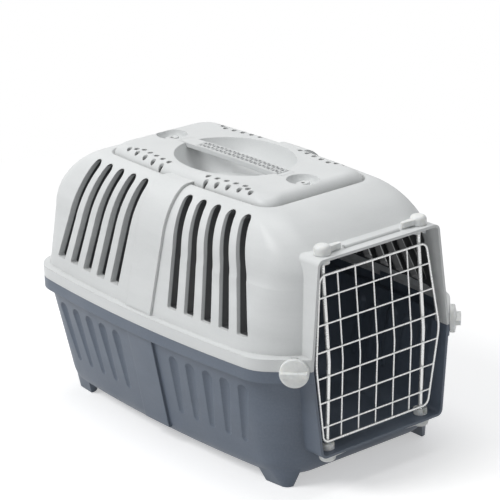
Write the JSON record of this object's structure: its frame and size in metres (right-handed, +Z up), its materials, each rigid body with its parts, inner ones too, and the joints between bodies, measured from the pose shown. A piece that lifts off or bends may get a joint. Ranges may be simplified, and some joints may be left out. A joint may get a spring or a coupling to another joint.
{
  "type": "pet carrier",
  "caption": "Two-shell pet carrier with slotted upper shell, fluted tub, top handle over a finger well, clamp knobs at the split and a bowed wire door held by twist latches.",
  "frame": {"origin": "centre of the overall box in plan, on the ground under the feet", "axes": "+X points out of the door, +Z up, +Y to the right when facing the door"},
  "size_m": [0.4855, 0.312, 0.3194],
  "materials": {
    "top_plastic": "fine satin",
    "base_plastic": "fine satin",
    "latch_plastic": "semi-gloss, slightly translucent",
    "wire_coat": "white plastic-dipped steel wire"
  },
  "bodies": {
    "base": {"base_tub": "base_plastic"},
    "top": {"top_shell": "top_plastic", "carry_handle": "top_plastic", "strap_lug_front": "top_plastic", "strap_lug_rear": "top_plastic"},
    "door": {"door_frame": "wire_coat", "door_rod_left": "wire_coat", "door_rod_right": "wire_coat", "door_wire_1": "wire_coat", "door_wire_2": "wire_coat", "door_wire_3": "wire_coat", "door_wire_4": "wire_coat", "door_wire_5": "wire_coat", "door_wire_6": "wire_coat", "door_upright_1": "wire_coat", "door_upright_2": "wire_coat", "door_upright_3": "wire_coat", "door_upright_4": "wire_coat", "door_upright_5": "wire_coat"},
    "upper_latch_left": {"latch_lever_upper_left": "latch_plastic", "latch_cup_upper_left": "latch_plastic"},
    "upper_latch_right": {"latch_lever_upper_right": "latch_plastic", "latch_cup_upper_right": "latch_plastic"},
    "lower_latch_left": {"latch_lever_lower_left": "latch_plastic", "latch_cup_lower_left": "latch_plastic"},
    "lower_latch_right": {"latch_lever_lower_right": "latch_plastic", "latch_cup_lower_right": "latch_plastic"},
    "side_knob_left": {"side_knob_left": "latch_plastic", "knob_clamp_left": "latch_plastic"},
    "side_knob_right": {"side_knob_right": "latch_plastic", "knob_clamp_right": "latch_plastic"}
  },
  "joints": [
    {"name": "top_lift", "type": "slide", "parent": "base", "child": "top", "axis": [0, 0, 1], "range_m": [0, 0.15]},
    {"name": "door_hinge", "type": "hinge", "parent": "base", "child": "door", "pos_m": [0.223, -0.07, 0.16], "axis": [0, 0, -1], "range_deg": [0, 110]},
    {"name": "upper_latch_left_turn", "type": "hinge", "parent": "top", "child": "upper_latch_left", "pos_m": [0.223, -0.07, 0.276], "axis": [0, 0, -1], "range_deg": [0, 180]},
    {"name": "upper_latch_right_turn", "type": "hinge", "parent": "top", "child": "upper_latch_right", "pos_m": [0.223, 0.07, 0.276], "axis": [0, 0, 1], "range_deg": [0, 180]},
    {"name": "lower_latch_left_turn", "type": "hinge", "parent": "base", "child": "lower_latch_left", "pos_m": [0.223, -0.07, 0.044], "axis": [0, 0, -1], "range_deg": [0, 180]},
    {"name": "lower_latch_right_turn", "type": "hinge", "parent": "base", "child": "lower_latch_right", "pos_m": [0.223, 0.07, 0.044], "axis": [0, 0, 1], "range_deg": [0, 180]},
    {"name": "side_knob_left_turn", "type": "hinge", "parent": "top", "child": "side_knob_left", "pos_m": [0.22492, -0.11508, 0.152], "axis": [0.7071, -0.7071, 0], "range_deg": [0, 90]},
    {"name": "side_knob_right_turn", "type": "hinge", "parent": "top", "child": "side_knob_right", "pos_m": [0.22492, 0.11508, 0.152], "axis": [0.7071, 0.7071, 0], "range_deg": [0, 90]}
  ]
}
